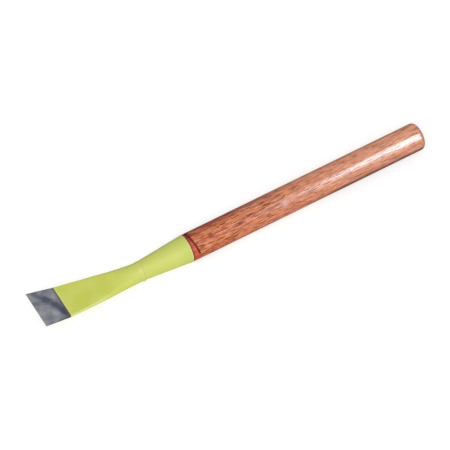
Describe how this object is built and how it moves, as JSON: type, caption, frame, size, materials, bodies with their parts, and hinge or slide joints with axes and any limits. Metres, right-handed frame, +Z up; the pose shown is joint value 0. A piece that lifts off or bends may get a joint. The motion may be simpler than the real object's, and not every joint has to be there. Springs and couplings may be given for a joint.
{
  "type": "long-handled bolster chisel",
  "caption": "Masonry bolster chisel with a flared, upswept forged blade, a rolled conical socket and a straight round hardwood handle.",
  "frame": {"origin": "middle of the tool's overall length, on its mid-plane, at the height of the handle's lowest line", "axes": "+X runs along the handle's axis from the cutting edge to the butt, +Z points up through the blade's broad upper face, and Y lies along the cutting edge"},
  "size_m": [0.526, 0.051, 0.0433],
  "materials": {
    "painted_blade": "Semi-gloss lime enamel on forged steel, with the last 34 mm to the cutting edge ground bare",
    "painted_weld": "Semi-gloss lime enamel over a rippled weld bead",
    "painted_socket": "Semi-gloss lime enamel on rolled steel sheet, worn thin at the mouth's rim",
    "varnished_wood": "Reddish open-pored hardwood under clear gloss varnish",
    "screw_steel": "Zinc-plated steel"
  },
  "bodies": {
    "root": {"blade": "painted_blade", "neck_weld": "painted_weld", "socket": "painted_socket", "handle": "varnished_wood", "keeper_screw": "screw_steel"}
  },
  "joints": []
}
